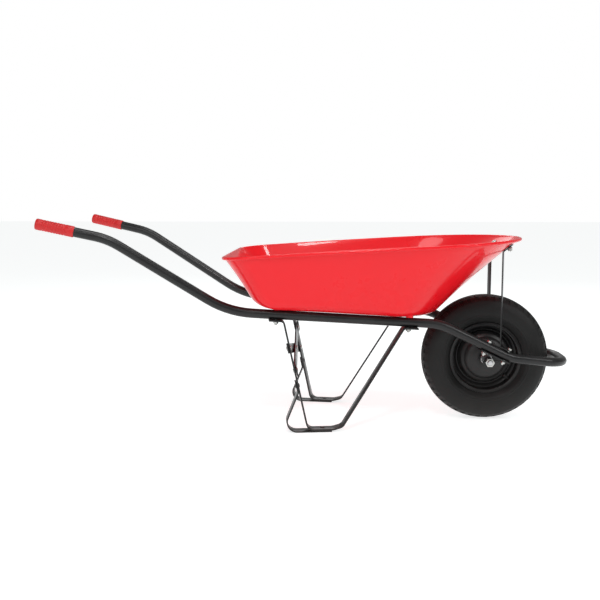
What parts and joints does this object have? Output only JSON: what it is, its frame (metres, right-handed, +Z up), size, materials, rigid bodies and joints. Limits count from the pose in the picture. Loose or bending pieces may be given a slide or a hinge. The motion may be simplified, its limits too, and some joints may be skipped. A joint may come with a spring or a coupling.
{
  "type": "wheelbarrow",
  "caption": "Builder's wheelbarrow with a red pressed steel tray, a bent black tube frame, flat bar legs and an air-filled wheel.",
  "frame": {"origin": "on the ground below the middle of the barrow's overall box", "axes": "+X towards the wheel, +Y to the left of the person who pushes, +Z up"},
  "size_m": [1.5582, 0.6178, 0.6295],
  "materials": {
    "tray_paint": "gloss",
    "frame_paint": "satin",
    "grip_plastic": "matte",
    "tyre_rubber": "matte",
    "soft_rubber": "matte",
    "bright_steel": "satin",
    "zinc": "satin"
  },
  "bodies": {
    "root": {"axle": "bright_steel", "axle_bolt_front_left": "zinc", "axle_bolt_front_right": "zinc", "axle_bolt_rear_left": "zinc", "axle_bolt_rear_right": "zinc", "axle_bracket_left": "frame_paint", "axle_bracket_right": "frame_paint", "axle_nut_front_left": "zinc", "axle_nut_front_right": "zinc", "axle_nut_left": "zinc", "axle_nut_rear_left": "zinc", "axle_nut_rear_right": "zinc", "axle_nut_right": "zinc", "axle_spacer_left": "frame_paint", "axle_spacer_right": "frame_paint", "bearing_inner_left": "bright_steel", "bearing_inner_right": "bright_steel", "brace_bar_front": "frame_paint", "brace_bar_rear": "frame_paint", "brace_rivet_lower_left": "zinc", "brace_rivet_lower_right": "zinc", "brace_rivet_middle": "zinc", "brace_rivet_upper_left": "zinc", "brace_rivet_upper_right": "zinc", "frame_tube": "frame_paint", "grip_left": "grip_plastic", "grip_right": "grip_plastic", "leg_left": "frame_paint", "leg_right": "frame_paint", "skid_left": "frame_paint", "skid_right": "frame_paint", "skid_rivet_foot_left": "frame_paint", "skid_rivet_foot_right": "frame_paint", "skid_rivet_top_left": "frame_paint", "skid_rivet_top_right": "frame_paint", "strut_bolt_left": "zinc", "strut_bolt_right": "zinc", "strut_left": "frame_paint", "strut_nut_left": "zinc", "strut_nut_right": "zinc", "strut_right": "frame_paint", "tray": "tray_paint", "tray_bolt_front_left": "zinc", "tray_bolt_front_right": "zinc", "tray_bolt_rear_left": "zinc", "tray_bolt_rear_right": "zinc", "tray_nut_front_left": "zinc", "tray_nut_front_right": "zinc", "tray_nut_rear_left": "zinc", "tray_nut_rear_right": "zinc"},
    "wheel": {"bearing_outer_left": "bright_steel", "bearing_outer_right": "bright_steel", "hub_tube": "frame_paint", "inner_tube": "soft_rubber", "rim_half_left": "frame_paint", "rim_half_right": "frame_paint", "tyre": "tyre_rubber", "valve_cap": "soft_rubber", "valve_stem": "soft_rubber"}
  },
  "joints": [
    {"name": "wheel_spin", "type": "hinge", "parent": "root", "child": "wheel", "pos_m": [0.531, 0, 0.195], "axis": [0, 1, 0], "continuous": true}
  ]
}
